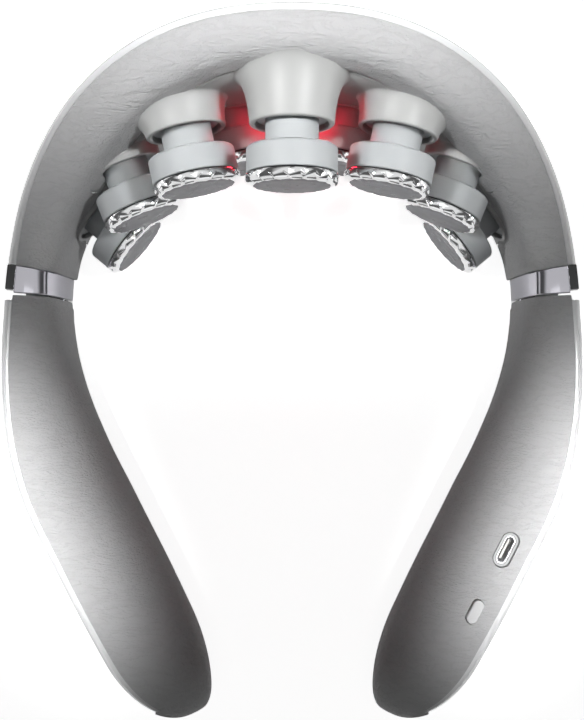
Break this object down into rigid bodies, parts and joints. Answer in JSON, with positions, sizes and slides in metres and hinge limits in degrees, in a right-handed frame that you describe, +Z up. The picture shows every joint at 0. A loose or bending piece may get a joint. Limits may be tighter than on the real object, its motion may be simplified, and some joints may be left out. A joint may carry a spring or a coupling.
{
  "type": "shiatsu neck massager",
  "caption": "U-shaped wearable neck massager: padded yoke with sprung, chrome-faced massage heads on its inner face, two hinged padded arms, charging socket and power button.",
  "frame": {"origin": "on the table, under the middle of the collar's outline, with the collar lying as in the picture", "axes": "+Z up towards the yoke's rim, +Y towards the nape, +X towards the arm with the charging socket"},
  "size_m": [0.1826, 0.2037, 0.0968],
  "materials": {
    "shell_white": "glossy white",
    "leather": "light grey grained leatherette",
    "silicone": "satin grey silicone",
    "grey_plastic": "fine matte grey",
    "chrome": "polished",
    "black_plastic": "matte black",
    "steel": "plain steel",
    "red_lens": "translucent red",
    "circuit_board": "green solder mask",
    "battery_wrap": "shrink sleeve",
    "pale_plastic": "moulded"
  },
  "bodies": {
    "collar": {"rear_shell": "shell_white", "yoke_pad": "leather", "head_panel": "silicone", "yoke_frame": "grey_plastic", "yoke_screws": "steel", "lamp_lens": "red_lens", "lamp_board": "circuit_board", "head_springs": "steel", "band_left": "chrome", "band_right": "chrome", "hinge_block_left": "black_plastic", "hinge_block_right": "black_plastic", "torsion_spring_left": "steel", "torsion_spring_right": "steel", "skirt_centre": "silicone", "skirt_upper_left": "silicone", "skirt_upper_right": "silicone", "skirt_side_left": "silicone", "skirt_side_right": "silicone", "skirt_end_left": "silicone", "skirt_end_right": "silicone", "skirt_low_left": "silicone", "skirt_low_right": "silicone"},
    "left_arm": {"arm_shell_left": "shell_white", "arm_pad_left": "leather", "arm_frame_left": "grey_plastic", "arm_screws_left": "steel", "hinge_pin_left": "steel", "battery": "battery_wrap"},
    "right_arm": {"arm_shell_right": "shell_white", "arm_pad_right": "leather", "arm_frame_right": "grey_plastic", "arm_screws_right": "steel", "hinge_pin_right": "steel", "main_board": "circuit_board", "usb_bezel": "chrome", "usb_shell": "steel", "usb_tongue": "pale_plastic", "tact_switch": "black_plastic"},
    "power_button": {"power_button": "shell_white"},
    "head_centre": {"cup_centre": "grey_plastic", "disc_centre": "chrome"},
    "head_upper_left": {"cup_upper_left": "grey_plastic", "disc_upper_left": "chrome"},
    "head_upper_right": {"cup_upper_right": "grey_plastic", "disc_upper_right": "chrome"},
    "head_side_left": {"cup_side_left": "grey_plastic", "disc_side_left": "chrome"},
    "head_side_right": {"cup_side_right": "grey_plastic", "disc_side_right": "chrome"},
    "head_end_left": {"cup_end_left": "grey_plastic", "disc_end_left": "chrome"},
    "head_end_right": {"cup_end_right": "grey_plastic", "disc_end_right": "chrome"},
    "head_low_left": {"cup_low_left": "grey_plastic", "disc_low_left": "chrome"},
    "head_low_right": {"cup_low_right": "grey_plastic", "disc_low_right": "chrome"}
  },
  "joints": [
    {"name": "left_arm_hinge", "type": "hinge", "parent": "collar", "child": "left_arm", "pos_m": [-0.08262, 0.03596, 0.02], "axis": [0, 0, -1], "range_deg": [0, 15], "stiffness_Nm_per_rad": 0.5},
    {"name": "right_arm_hinge", "type": "hinge", "parent": "collar", "child": "right_arm", "pos_m": [0.08262, 0.03596, 0.02], "axis": [0, 0, 1], "range_deg": [0, 15], "stiffness_Nm_per_rad": 0.5},
    {"name": "power_button_press", "type": "slide", "parent": "right_arm", "child": "power_button", "axis": [0, 0, -1], "range_m": [0, 0.0006], "stiffness_N_per_m": 800, "springref_m": -0.0002},
    {"name": "head_centre_press", "type": "slide", "parent": "collar", "child": "head_centre", "axis": [0, 1, 0], "range_m": [0, 0.0035], "stiffness_N_per_m": 400, "springref_m": -0.002, "deforming": ["head_springs"]},
    {"name": "head_upper_left_press", "type": "slide", "parent": "collar", "child": "head_upper_left", "axis": [-0.2079, 0.9781, 0], "range_m": [0, 0.0035], "stiffness_N_per_m": 400, "springref_m": -0.002, "deforming": ["head_springs"]},
    {"name": "head_upper_right_press", "type": "slide", "parent": "collar", "child": "head_upper_right", "axis": [0.2079, 0.9781, 0], "range_m": [0, 0.0035], "stiffness_N_per_m": 400, "springref_m": -0.002, "deforming": ["head_springs"]},
    {"name": "head_side_left_press", "type": "slide", "parent": "collar", "child": "head_side_left", "axis": [-0.3746, 0.9272, 0], "range_m": [0, 0.0035], "stiffness_N_per_m": 400, "springref_m": -0.002, "deforming": ["head_springs"]},
    {"name": "head_side_right_press", "type": "slide", "parent": "collar", "child": "head_side_right", "axis": [0.3746, 0.9272, 0], "range_m": [0, 0.0035], "stiffness_N_per_m": 400, "springref_m": -0.002, "deforming": ["head_springs"]},
    {"name": "head_end_left_press", "type": "slide", "parent": "collar", "child": "head_end_left", "axis": [-0.766, 0.6428, 0], "range_m": [0, 0.0035], "stiffness_N_per_m": 400, "springref_m": -0.002, "deforming": ["head_springs"]},
    {"name": "head_end_right_press", "type": "slide", "parent": "collar", "child": "head_end_right", "axis": [0.766, 0.6428, 0], "range_m": [0, 0.0035], "stiffness_N_per_m": 400, "springref_m": -0.002, "deforming": ["head_springs"]},
    {"name": "head_low_left_press", "type": "slide", "parent": "collar", "child": "head_low_left", "axis": [-0.2419, 0.9703, 0], "range_m": [0, 0.0035], "stiffness_N_per_m": 400, "springref_m": -0.002, "deforming": ["head_springs"]},
    {"name": "head_low_right_press", "type": "slide", "parent": "collar", "child": "head_low_right", "axis": [0.2419, 0.9703, 0], "range_m": [0, 0.0035], "stiffness_N_per_m": 400, "springref_m": -0.002, "deforming": ["head_springs"]}
  ]
}
